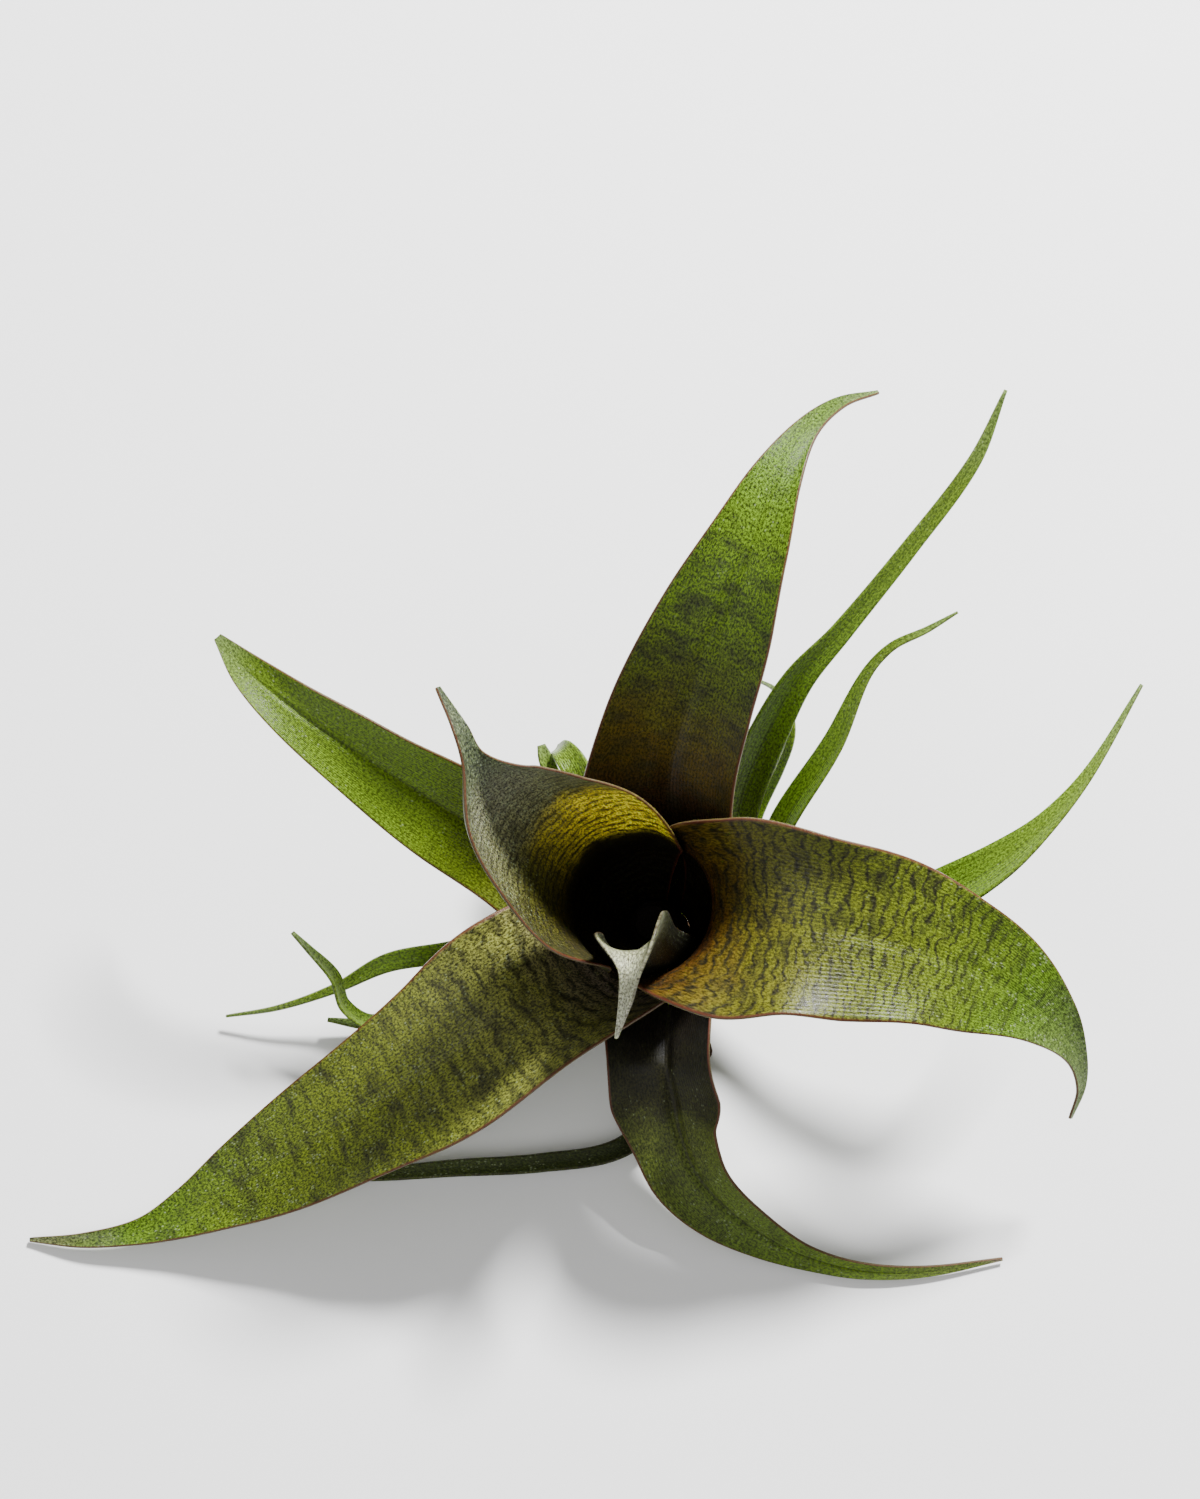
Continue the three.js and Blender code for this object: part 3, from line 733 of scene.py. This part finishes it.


def blade_material(name, colours, under, lines, mottle, scurf, spacing=0.2, waviness=0.5, line_width=0.55,
                   streak=0.3, midrib=0.3, roughness=0.36, nerves=44.0, glow=0.1, seed=0.0, edge=0.9, grain=0.7,
                   painted_glow_colour=None):
    """A leaf's finish. colours are stops along it from the sheath's start (0) to the tip (1).

    lines, mottle and scurf are each (amount near the sheath, amount in the middle, amount at the tip).
    The last argument, a colour or None, is a painted glow near the right margin, as of light through the thin blade.
    With it, the left margin is darkened with painted shade.
    """
    settings = bpy.context.scene.vriesea_colours
    sizes = bpy.context.scene.vriesea_sizes
    material, tree = new_material(name)
    share = tree.add("ShaderNodeUVMap", uv_map="Share").outputs[0]
    place = tree.add("ShaderNodeUVMap", uv_map="Blade").outputs[0]
    below = tree.add("ShaderNodeAttribute", attribute_name="below").outputs["Fac"]
    along = tree.add("ShaderNodeSeparateXYZ", {"Vector": share}).outputs["Y"]
    wander = tree.noise(place, 1.3, 4.0, 0.6)
    wander = tree.times(tree.math("SUBTRACT", wander, 0.5), COLOUR_WANDER)
    shade_place = tree.plus(along, wander)

    def amount(values):
        return tree.ramp(shade_place, [(stop, (value,) * 3) for stop, value in zip(AMOUNT_STOPS, values)])

    colour = tree.ramp(shade_place, colours)
    edges = use_group(tree, "Margin", {"Share": share, "Width": EDGE_WIDTH, "Midrib Width": MIDRIB_WIDTH})
    ribs = use_group(tree, "Nerves", {"Share": share, "Place": place, "Count": nerves})
    spots = use_group(tree, "Mottle", {
        "Place": place, "Patch Size": PATCH_SIZE, "Seed": seed, "Cover": PATCH_COVER})
    bars = use_group(tree, "CrossLines", {
        "Place": place, "Spacing": spacing, "Waviness": waviness, "Width": line_width, "Seed": seed + 3.0})
    skin = use_group(tree, "Scurf", {"Place": place, "Scale Size": SCALE_SIZE, "Amount": amount(scurf)})

    # Painted glow: a band near the right margin is painted bright yellow where light shines through the thin blade.
    if painted_glow_colour:
        across = tree.add("ShaderNodeSeparateXYZ", {"Vector": share}).outputs["X"]
        low = tree.step(shade_place, 0.21, 0.27)
        high = tree.step(shade_place, 0.52, 0.40)
        painted_glow_mask = tree.times(tree.times(low, high), tree.step(across, 0.35, 0.85))
        colour = tree.mix(painted_glow_mask, colour, painted_glow_colour)
        # Painted shade: the cup leaf darkens towards its left margin.
        colour = tree.mix(tree.step(across, 0.34, 0.04, 0.0, 0.7), colour, PAINTED_SHADE_OLIVE)
    dark = tuple(settings.mottle)
    deeper = tree.mix(1.0, colour, STREAK_TINT, "MULTIPLY")
    colour = tree.mix(tree.times(tree.step(ribs["Streak"], 0.4, 0.7), streak), colour, deeper)
    colour = tree.mix(tree.times(spots["Mask"], amount(mottle)), colour, dark)
    colour = tree.mix(tree.times(bars["Mask"], amount(lines)), colour, dark)
    colour = tree.mix(tree.times(edges["Midrib"], midrib), colour, dark)
    shaded = tree.mix(1.0, colour, GRAIN_DARK, "MULTIPLY")
    lit = tree.mix(1.0, colour, GRAIN_LIGHT, "MULTIPLY")
    grained = tree.mix(skin["Grain"], shaded, lit)
    colour = tree.mix(grain, colour, grained)
    colour = tree.mix(tree.times(skin["Scales"], SCALE_STRENGTH), colour, tuple(settings.scurf))
    colour = tree.mix(tree.times(edges["Edge"], edge), colour, tuple(settings.margin))
    colour = tree.mix(below, colour, tree.mix(UNDER_SHARE, colour, under))

    rough = tree.times(skin["Grain"], GRAIN_ROUGHNESS)
    rough = tree.plus(rough, roughness - GRAIN_ROUGHNESS / 2)
    height = tree.times(ribs["Ridge"], RIDGE_HEIGHT)
    height = tree.plus(height, tree.times(skin["Grain"], GRAIN_HEIGHT))
    height = tree.plus(height, tree.times(skin["Scales"], SCALE_HEIGHT))
    bump = tree.add("ShaderNodeBump", {"Strength": 0.7, "Distance": sizes.nerve_depth, "Height": height})
    shader = tree.add("ShaderNodeBsdfPrincipled", {
        "Base Color": colour, "Roughness": rough, "Normal": bump.outputs[0],
        "Subsurface Weight": glow, "Subsurface Radius": GLOW_RADIUS, "Subsurface Scale": GLOW_DEPTH,
        "Specular IOR Level": BLADE_SPECULAR})
    tree.add("ShaderNodeOutputMaterial", {"Surface": shader.outputs[0]})
    return material


# Colours of the blades, from the tank outwards.
# The sheaths' dark maroon taken down nearly to black: partly their own colour, partly painted shade of the tank.
SHEATH_MAROON_AND_SHADE = (0.0060, 0.0030, 0.0016)
MAROON = (0.024, 0.0095, 0.0036)
RUST = (0.056, 0.021, 0.0042)
OLIVE = (0.080, 0.078, 0.0075)
YELLOW_GREEN = (0.092, 0.124, 0.0065)
DEEP_OLIVE = (0.058, 0.076, 0.0050)
# Painted shade for the cup leaf's left margin.
PAINTED_SHADE_OLIVE = (0.030, 0.029, 0.010)
LEAF_GREEN = (0.066, 0.125, 0.0055)
GREY_GREEN = (0.105, 0.155, 0.040)
PALE_TIP = (0.155, 0.225, 0.065)
DRY_TIP = (0.18, 0.145, 0.105)
LILAC_GREY = (0.14, 0.115, 0.080)
UNDERSIDE = (0.065, 0.072, 0.030)


def mottled_right_material():
    return blade_material(
        "blade_mottled_right",
        [(0.0, SHEATH_MAROON_AND_SHADE), (0.13, SHEATH_MAROON_AND_SHADE), (0.17, MAROON), (0.205, RUST), (0.25, (0.075, 0.052, 0.0060)),
         (0.30, OLIVE), (0.56, YELLOW_GREEN), (0.74, LEAF_GREEN), (0.92, GREY_GREEN), (1.0, PALE_TIP)],
        UNDERSIDE, lines=(0.95, 0.95, 0.2), mottle=(0.6, 0.6, 0.25), scurf=(0.05, 0.15, 0.6), spacing=0.21,
        waviness=0.5, line_width=1.0, midrib=0.0, seed=1.0)


def mottled_left_material():
    return blade_material(
        "blade_mottled_left",
        [(0.0, SHEATH_MAROON_AND_SHADE), (0.10, SHEATH_MAROON_AND_SHADE), (0.15, MAROON), (0.21, LILAC_GREY), (0.31, (0.125, 0.130, 0.028)),
         (0.52, (0.098, 0.120, 0.0085)), (0.72, (0.070, 0.100, 0.0060)), (0.88, LEAF_GREEN),
         (1.0, (0.10, 0.105, 0.045))],
        UNDERSIDE, lines=(0.9, 0.35, 0.05), mottle=(0.45, 0.8, 0.5), scurf=(0.2, 0.3, 0.35), spacing=0.34,
        waviness=0.3, line_width=0.95, midrib=0.0, seed=6.0, grain=1.0)


def mottled_tall_material():
    return blade_material(
        "blade_mottled_tall",
        [(0.0, SHEATH_MAROON_AND_SHADE), (0.20, SHEATH_MAROON_AND_SHADE), (0.28, MAROON), (0.36, (0.052, 0.036, 0.0038)),
         (0.45, (0.052, 0.064, 0.0038)), (0.58, (0.066, 0.112, 0.0042)), (0.78, LEAF_GREEN),
         (0.93, (0.072, 0.122, 0.016)), (1.0, GREY_GREEN)],
        UNDERSIDE, lines=(0.45, 0.25, 0.0), mottle=(0.6, 0.7, 0.05), scurf=(0.02, 0.1, 0.25), spacing=0.4,
        waviness=0.3, line_width=0.8, midrib=0.12, seed=11.0, grain=1.0)


def cup_material():
    return blade_material(
        "blade_cup",
        [(0.0, SHEATH_MAROON_AND_SHADE), (0.18, SHEATH_MAROON_AND_SHADE), (0.24, (0.035, 0.028, 0.002)), (0.31, (0.052, 0.049, 0.005)),
         (0.42, (0.058, 0.060, 0.010)), (0.54, (0.135, 0.140, 0.065)), (0.66, (0.135, 0.140, 0.085)),
         (0.80, (0.062, 0.078, 0.040)), (1.0, (0.07, 0.085, 0.05))],
        UNDERSIDE, lines=(1.0, 0.7, 0.0), mottle=(0.15, 0.35, 0.2), scurf=(0.0, 0.6, 0.9), spacing=0.19,
        waviness=0.3, line_width=1.2, midrib=0.0, seed=16.0, glow=0.3, roughness=0.46, grain=1.0,
        painted_glow_colour=(0.82, 0.67, 0.055))


# Its nearly black base, out to about 0.39 of its colour range, is partly the dark sheath's own colour and partly
# painted shade of the shadow over the leaf's base.
def curling_material():
    return blade_material(
        "blade_curling",
        [(0.0, SHEATH_MAROON_AND_SHADE), (0.30, (0.004, 0.003, 0.0015)), (0.39, (0.020, 0.021, 0.004)),
         (0.45, (0.068, 0.086, 0.014)), (0.62, (0.070, 0.108, 0.010)), (0.80, (0.090, 0.150, 0.006)),
         (0.95, (0.115, 0.160, 0.020)), (1.0, DRY_TIP)],
        UNDERSIDE, lines=(0.2, 0.1, 0.0), mottle=(0.4, 0.4, 0.1), scurf=(0.0, 0.3, 0.2), midrib=0.55, seed=21.0,
        roughness=0.5, grain=0.75)


def green_material():
    fresh = tuple(bpy.context.scene.vriesea_colours.fresh_green)
    return blade_material(
        "blade_green",
        [(0.0, MAROON), (0.18, DEEP_OLIVE), (0.34, (0.062, 0.078, 0.005)), (0.60, fresh), (0.90, fresh),
         (1.0, GREY_GREEN)],
        (0.06, 0.08, 0.03), lines=(0.3, 0.05, 0.0), mottle=(0.55, 0.15, 0.0), scurf=(0.05, 0.12, 0.3),
        midrib=0.3, seed=26.0, streak=0.45)


# Its stops up to about 0.6 paint the part of the young leaf down in the tank nearly black: painted shade of the tank.
def young_material():
    return blade_material(
        "blade_young",
        [(0.0, SHEATH_MAROON_AND_SHADE), (0.52, (0.008, 0.008, 0.004)), (0.62, (0.060, 0.065, 0.030)),
         (0.69, (0.25, 0.26, 0.16)), (1.0, (0.42, 0.43, 0.34))],
        (0.008, 0.009, 0.005), lines=(0.0, 0.0, 0.0), mottle=(0.1, 0.25, 0.0), scurf=(0.3, 0.7, 0.9), seed=31.0,
        nerves=20.0, streak=0.8, edge=0.2, roughness=0.45, midrib=0.0, grain=0.8)


def narrow_green_material():
    return blade_material(
        "blade_narrow_green",
        [(0.0, (0.14, 0.13, 0.06)), (0.16, (0.09, 0.125, 0.015)), (0.5, (0.078, 0.145, 0.0055)),
         (0.86, (0.095, 0.155, 0.012)), (1.0, GREY_GREEN)],
        (0.06, 0.085, 0.025), lines=(0.0, 0.0, 0.0), mottle=(0.2, 0.1, 0.0), scurf=(0.05, 0.08, 0.25),
        midrib=0.35, seed=36.0, nerves=12.0, glow=0.2, edge=0.1, streak=0.4)


def narrow_dark_material():
    return blade_material(
        "blade_narrow_dark",
        [(0.0, MAROON), (0.3, (0.006, 0.006, 0.003)), (0.6, (0.024, 0.034, 0.005)), (1.0, (0.05, 0.07, 0.012))],
        (0.02, 0.025, 0.01), lines=(0.0, 0.0, 0.0), mottle=(0.3, 0.3, 0.1), scurf=(0.1, 0.3, 0.4),
        midrib=0.4, seed=41.0, nerves=12.0, edge=0.1)


def woody_material(name, colour, scale, roughness, painted_shade_from=None):
    """Rough brown skin with lighter and darker rings and fine cracks.

    Given a height in metres as its last argument, it is painted nearly black above that height: the leaf bases' dark
    colour and painted shade of the tank.
    """
    material, tree = new_material(name)
    place = tree.add("ShaderNodeTexCoord").outputs["Object"]
    coarse = tree.noise(tree.stretch(place, (1.0, 1.0, 2.5)), scale, 6.0, 0.65)
    fine = tree.noise(place, scale * 6, 4.0, 0.6)
    dark = tuple(c * 0.3 for c in colour)
    light = tuple(min(1.0, c * 2.1) for c in colour)
    shade = tree.ramp(coarse, [(0.3, dark), (0.5, tuple(colour)), (0.72, light)])
    shade = tree.mix(tree.step(fine, 0.5, 0.72, 0.0, 0.5), shade, dark)
    # Painted shade: nearly black above the given height, for the tank's shade and the dark leaf bases over the stem's
    # top.
    if painted_shade_from is not None:
        above_foot = tree.add("ShaderNodeSeparateXYZ", {"Vector": place}).outputs["Z"]
        shade = tree.mix(tree.step(above_foot, painted_shade_from, painted_shade_from + PAINTED_SHADE_BAND), shade, SHEATH_MAROON_AND_SHADE)
    height = tree.plus(coarse, tree.times(fine, 0.4))
    bump = tree.add("ShaderNodeBump", {"Strength": 0.8, "Distance": 0.0006, "Height": height})
    shader = tree.add("ShaderNodeBsdfPrincipled", {
        "Base Color": shade, "Roughness": tree.step(fine, 0.2, 0.8, roughness - 0.1, roughness + 0.08),
        "Normal": bump.outputs[0], "Specular IOR Level": 0.25})
    tree.add("ShaderNodeOutputMaterial", {"Surface": shader.outputs[0]})
    return material


# ---- operators


def add_blade(node, blade, grid, material, midrib=0.6, wave=0.0, wave_length=24.0, phase=0.0):
    """Makes one leaf with its folds and waves and puts it in the scene."""
    rows, columns = grid
    sizes = bpy.context.scene.vriesea_sizes
    shape = {
        "midrib": midrib * sizes.midrib_depth / MIDRIB_DEPTH,
        "wave": wave * sizes.margin_wave / MARGIN_WAVE,
        "wave_length": wave_length,
        "phase": phase,
    }
    mesh = blade_mesh(node, rows, columns, shape, **blade)
    return add_piece(node, mesh, material, node)


class VRIESEA_OT_mottled_leaves(bpy.types.Operator):
    """Add the three broad mottled leaves: right, front left and tall back"""

    bl_idname = "vriesea.mottled_leaves"
    bl_label = "Mottled leaves"

    def execute(self, context):
        add_blade("leaf_right_broad", BROAD_BLADES["leaf_right_broad"], BROAD, mottled_right_material(),
                  midrib=0.3, wave=0.8, wave_length=26.0, phase=0.6)
        add_blade("leaf_front_long", BROAD_BLADES["leaf_front_long"], BROAD, mottled_left_material(),
                  midrib=0.3, wave=0.3, wave_length=34.0)
        add_blade("leaf_back_tall", BROAD_BLADES["leaf_back_tall"], BROAD, mottled_tall_material(),
                  midrib=0.6, wave=0.2, wave_length=30.0)
        return {"FINISHED"}


class VRIESEA_OT_cup_leaf(bpy.types.Operator):
    """Add the cupped leaf that makes the back of the tank"""

    bl_idname = "vriesea.cup_leaf"
    bl_label = "Cup leaf"

    def execute(self, context):
        add_blade("leaf_left_cup", BROAD_BLADES["leaf_left_cup"], BROAD, cup_material(), midrib=0.2, wave=0.1)
        return {"FINISHED"}


class VRIESEA_OT_young_leaf(bpy.types.Operator):
    """Add the pale young leaf at the front of the tank"""

    bl_idname = "vriesea.young_leaf"
    bl_label = "Young leaf"

    def execute(self, context):
        add_blade("leaf_front_young", BROAD_BLADES["leaf_front_young"], BROAD, young_material(), midrib=0.3)
        return {"FINISHED"}


class VRIESEA_OT_curling_leaf(bpy.types.Operator):
    """Add the front leaf that curls to the right along the surface"""

    bl_idname = "vriesea.curling_leaf"
    bl_label = "Curling leaf"

    def execute(self, context):
        add_blade("leaf_front_curling", BROAD_BLADES["leaf_front_curling"], BROAD, curling_material(),
                  midrib=1.2, wave=0.3)
        return {"FINISHED"}


class VRIESEA_OT_green_leaf(bpy.types.Operator):
    """Add the plain green leaf at the back left"""

    bl_idname = "vriesea.green_leaf"
    bl_label = "Green leaf"

    def execute(self, context):
        add_blade("leaf_left_back", BROAD_BLADES["leaf_left_back"], BROAD, green_material(), midrib=1.0, wave=0.2)
        return {"FINISHED"}


class VRIESEA_OT_narrow_leaves(bpy.types.Operator):
    """Add the narrow outer leaves"""

    bl_idname = "vriesea.narrow_leaves"
    bl_label = "Narrow leaves"

    def execute(self, context):
        green = narrow_green_material()
        dark = narrow_dark_material()
        for node, blade in NARROW_BLADES.items():
            add_blade(node, blade, NARROW, dark if node == "leaf_front_low" else green, midrib=0.5)
        return {"FINISHED"}


class VRIESEA_OT_stem(bpy.types.Operator):
    """Add the trimmed stump of the stem"""

    bl_idname = "vriesea.stem"
    bl_label = "Stem"

    def execute(self, context):
        lean_x, lean_y = AXIS.x / AXIS.z, AXIS.y / AXIS.z
        bm = bmesh.new()
        bmesh.ops.create_circle(
            bm, cap_ends=True, cap_tris=False, segments=STEM_SIDES, radius=STEM_FOOT_RADIUS * MM)
        cap = bm.faces[:][0]
        for k in range(1, STEM_STEPS + 1):
            z = STEM_TOP * k / STEM_STEPS
            scar = SCAR_HEIGHT * math.sin(z * 2 * math.pi / SCAR_SPACING)
            radius = STEM_RADIUS + FOOT_FLARE * math.exp(-z / FOOT_FLARE_HEIGHT)
            radius += scar if SCARS_FROM < z < SCARS_TO else 0.0
            radius -= TOP_TAPER * smoothstep(z, STEM_TOP - TOP_TAPER_HEIGHT, STEM_TOP)
            result = bmesh.ops.extrude_face_region(bm, geom=[cap])
            cap = next(item for item in result["geom"] if isinstance(item, bmesh.types.BMFace))
            for vert in cap.verts:
                a = math.atan2(vert.co.y - lean_y * vert.co.z, vert.co.x - lean_x * vert.co.z)
                lobed = radius * (1 + STEM_LOBE_SHARE * math.sin(STEM_LOBES * a + z))
                vert.co = Vector((math.cos(a) * lobed + lean_x * z, math.sin(a) * lobed + lean_y * z, z)) * MM
        mesh = finished_mesh("stem", bm, flat_caps=True)
        bark = woody_material("bark", context.scene.vriesea_colours.bark, 400.0, 0.85, STEM_PAINTED_SHADE_FROM)
        add_piece("stem", mesh, bark, "stem")
        return {"FINISHED"}


class VRIESEA_OT_roots(bpy.types.Operator):
    """Add the wiry roots"""

    bl_idname = "vriesea.roots"
    bl_label = "Roots"

    def execute(self, context):
        skin = woody_material("root_skin", context.scene.vriesea_colours.root_skin, 900.0, 0.9)
        for order, (node, (azimuth, reach, bend)) in enumerate(ROOTS.items()):
            add_piece(node, self.root_mesh(node, azimuth, reach, bend, order), skin, node)
        return {"FINISHED"}

    @staticmethod
    def root_mesh(name, azimuth, reach, bend, order):
        """One tapering, knotted root, from the stem to its tip on the surface."""
        turn = math.radians(azimuth)
        bends = [share * bend for share in ROOT_BEND_SHARES]

        def spot(s):
            a = turn + smooth(ROOT_STATIONS, bends, s)
            r = ROOT_START + reach * s
            wiggle = ROOT_WIGGLE * math.sin(s * 17 + order * 2.1) * s
            return Vector((
                math.cos(a) * r - math.sin(a) * wiggle, math.sin(a) * r + math.cos(a) * wiggle,
                smooth(ROOT_STATIONS, ROOT_HEIGHTS, s)))

        # A straight prism first, one unit a step, which is then laid along the root's path.
        bm = bmesh.new()
        bmesh.ops.create_circle(bm, cap_ends=True, cap_tris=False, segments=ROOT_SIDES, radius=1.0)
        cap = bm.faces[:][0]
        for _ in range(ROOT_STEPS):
            result = bmesh.ops.extrude_face_region(bm, geom=[cap])
            cap = next(item for item in result["geom"] if isinstance(item, bmesh.types.BMFace))
            for vert in cap.verts:
                vert.co.z += 1.0
        for vert in bm.verts:
            k, a = round(vert.co.z), math.atan2(vert.co.y, vert.co.x)
            s = k / ROOT_STEPS
            ahead = (spot(min(1.0, s + 0.01)) - spot(max(0.0, s - 0.01))).normalized()
            side = ahead.cross(Vector((0, 0, 1))).normalized()
            up = side.cross(ahead)
            knob = 1 + COARSE_KNOTS[0] * math.sin(s * COARSE_KNOTS[1] + order)
            knob += FINE_KNOTS[0] * math.sin(s * FINE_KNOTS[1])
            radius = ROOT_RADIUS * knob * (1 - ROOT_TAPER * s) * (ROOT_TIP_SHARE if k == ROOT_STEPS else 1.0)
            co = spot(s) + side * math.cos(a) * radius + up * math.sin(a) * radius
            vert.co = Vector((co.x, co.y, max(ROOT_LOWEST, co.z))) * MM
        return finished_mesh(name, bm)


class VRIESEA_OT_stage(bpy.types.Operator):
    """Add the pale floor, the studio light and the camera"""

    bl_idname = "vriesea.stage"
    bl_label = "Stage"

    def execute(self, context):
        self.floor(context)
        self.lights(context)
        self.camera(context)
        return {"FINISHED"}

    @staticmethod
    def floor(context):
        bm = bmesh.new()
        bmesh.ops.create_grid(bm, x_segments=1, y_segments=1, size=context.scene.vriesea_sizes.floor_width / 2)
        mesh = bpy.data.meshes.new("floor")
        bm.to_mesh(mesh)
        bm.free()
        floor = bpy.data.objects.new("floor", mesh)
        context.scene.collection.objects.link(floor)
        material = bpy.data.materials.new("floor")
        material.use_nodes = True
        shader = material.node_tree.nodes["Principled BSDF"]
        shader.inputs["Base Color"].default_value = (*context.scene.vriesea_colours.floor, 1.0)
        shader.inputs["Roughness"].default_value = 0.9
        shader.inputs["Specular IOR Level"].default_value = 0.1
        mesh.materials.append(material)

    @staticmethod
    def lights(context):
        for name, stand, size, power in LIGHTS:
            light = bpy.data.lights.new(name, "AREA")
            light.shape = "DISK"
            light.size = size
            light.energy = power
            holder = bpy.data.objects.new(name, light)
            holder.location = stand
            direction = LIGHT_TARGET - Vector(stand)
            holder.rotation_euler = direction.to_track_quat("-Z", "Y").to_euler()
            context.scene.collection.objects.link(holder)
        world = bpy.data.worlds.new("studio")
        world.use_nodes = True
        backdrop = world.node_tree.nodes["Background"]
        backdrop.inputs["Color"].default_value = (1.0, 1.0, 1.0, 1.0)
        backdrop.inputs["Strength"].default_value = SKY_STRENGTH
        context.scene.world = world

    @staticmethod
    def camera(context):
        camera = bpy.data.cameras.new("camera")
        camera.sensor_width = 36
        camera.lens = CAMERA_LENS
        camera.clip_start = 0.01
        holder = bpy.data.objects.new("camera", camera)
        backwards = Vector((0, -math.cos(CAMERA_ELEVATION), math.sin(CAMERA_ELEVATION)))
        holder.location = CAMERA_TARGET + backwards * CAMERA_DISTANCE
        holder.rotation_euler = (math.pi / 2 - CAMERA_ELEVATION, 0.0, 0.0)
        context.scene.collection.objects.link(holder)
        context.scene.camera = holder


OPERATORS = (
    VRIESEA_OT_mottled_leaves,
    VRIESEA_OT_cup_leaf,
    VRIESEA_OT_young_leaf,
    VRIESEA_OT_curling_leaf,
    VRIESEA_OT_green_leaf,
    VRIESEA_OT_narrow_leaves,
    VRIESEA_OT_stem,
    VRIESEA_OT_roots,
    VRIESEA_OT_stage,
)


class VRIESEA_PT_panel(bpy.types.Panel):
    """The plant's sizes, colours and pieces"""

    bl_idname = "VRIESEA_PT_panel"
    bl_label = "Vriesea"
    bl_space_type = "VIEW_3D"
    bl_region_type = "UI"
    bl_category = "Vriesea"

    def draw(self, context):
        for settings in (context.scene.vriesea_sizes, context.scene.vriesea_colours):
            for key in settings.__annotations__:
                self.layout.prop(settings, key)
        for operator in OPERATORS:
            self.layout.operator(operator.bl_idname)


CLASSES = (VrieseaSizes, VrieseaColours, *OPERATORS, VRIESEA_PT_panel)


def register():
    for item in CLASSES:
        bpy.utils.register_class(item)
    bpy.types.Scene.vriesea_sizes = PointerProperty(type=VrieseaSizes)
    bpy.types.Scene.vriesea_colours = PointerProperty(type=VrieseaColours)


def unregister():
    del bpy.types.Scene.vriesea_colours
    del bpy.types.Scene.vriesea_sizes
    for item in reversed(CLASSES):
        bpy.utils.unregister_class(item)


def main():
    register()
    bpy.ops.vriesea.mottled_leaves()
    bpy.ops.vriesea.cup_leaf()
    bpy.ops.vriesea.young_leaf()
    bpy.ops.vriesea.curling_leaf()
    bpy.ops.vriesea.green_leaf()
    bpy.ops.vriesea.narrow_leaves()
    bpy.ops.vriesea.stem()
    bpy.ops.vriesea.roots()
    bpy.ops.vriesea.stage()


if __name__ == "__main__":
    main()
